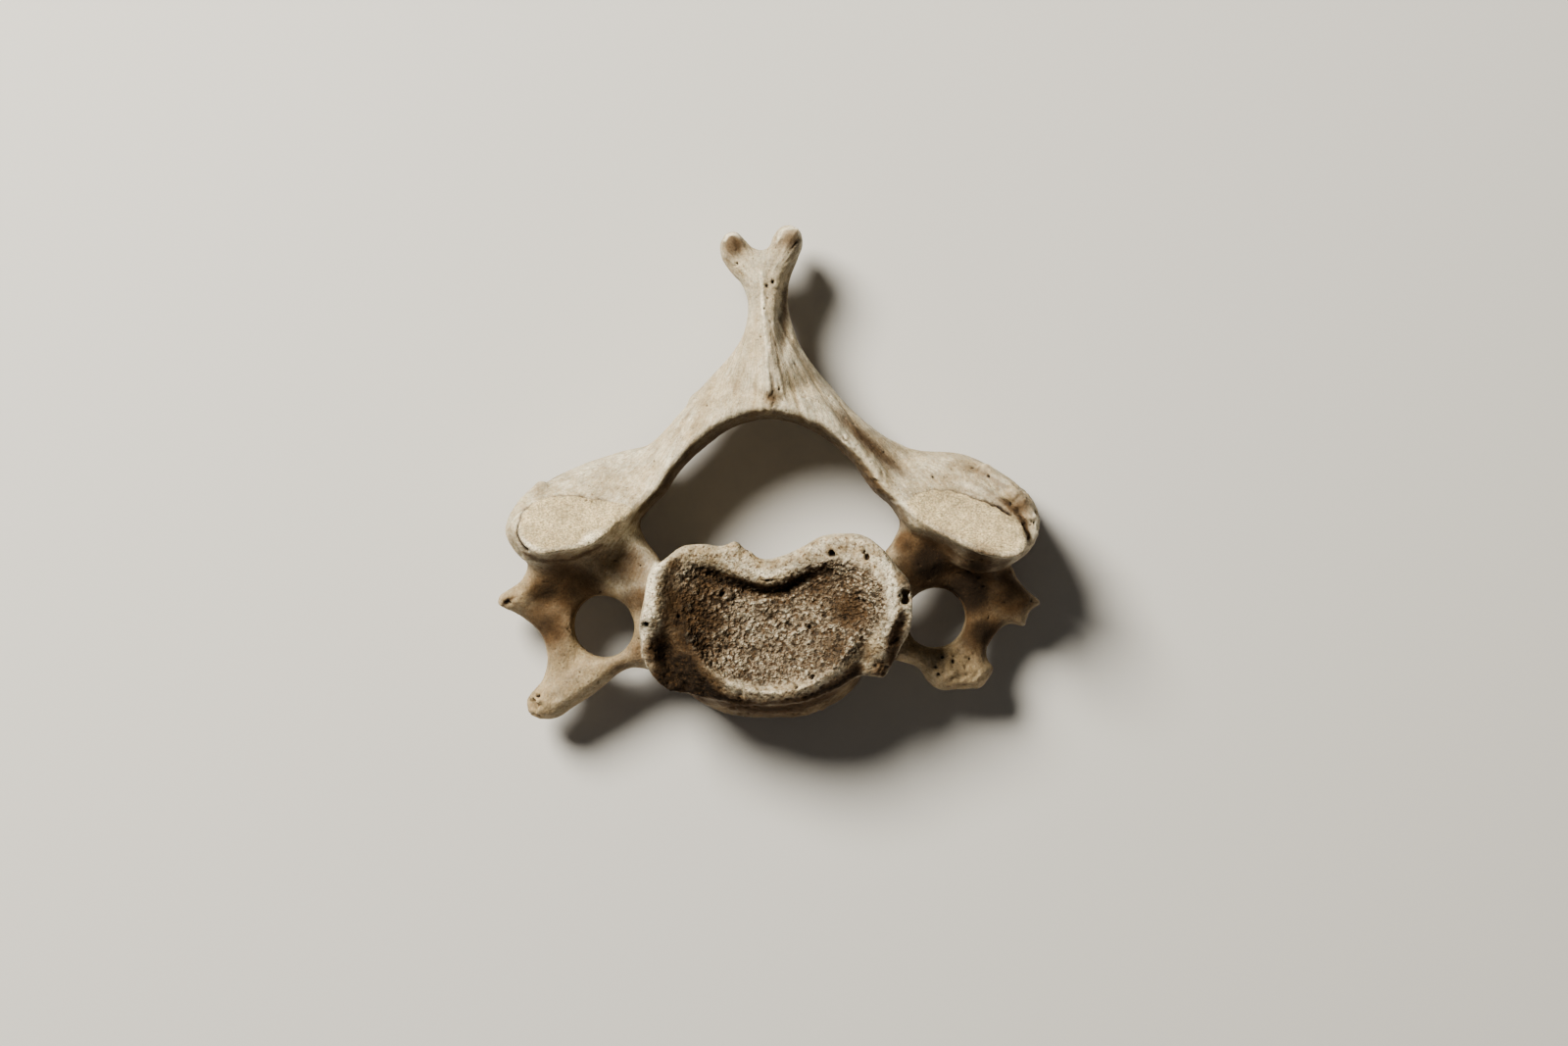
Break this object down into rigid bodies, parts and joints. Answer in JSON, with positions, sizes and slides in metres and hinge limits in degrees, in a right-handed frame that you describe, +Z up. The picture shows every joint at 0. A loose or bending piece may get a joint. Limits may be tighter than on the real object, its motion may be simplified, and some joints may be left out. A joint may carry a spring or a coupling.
{
  "type": "cervical vertebra",
  "caption": "Neck vertebra with a cupped body, wide triangular canal, slanted facets, pierced side processes and a forked spine, lying on its underside.",
  "frame": {"origin": "on the table, under the middle of the bone's bounding box", "axes": "+Z up out of the table, the bone's upper (head) side; +Y to the forked spine at the back, -Y to the front of the body; +X to the right of the picture"},
  "size_m": [0.0538, 0.0495, 0.0162],
  "materials": {
    "bone": "dry porous bone, matt"
  },
  "bodies": {
    "root": {"vertebra": "bone"}
  },
  "joints": []
}
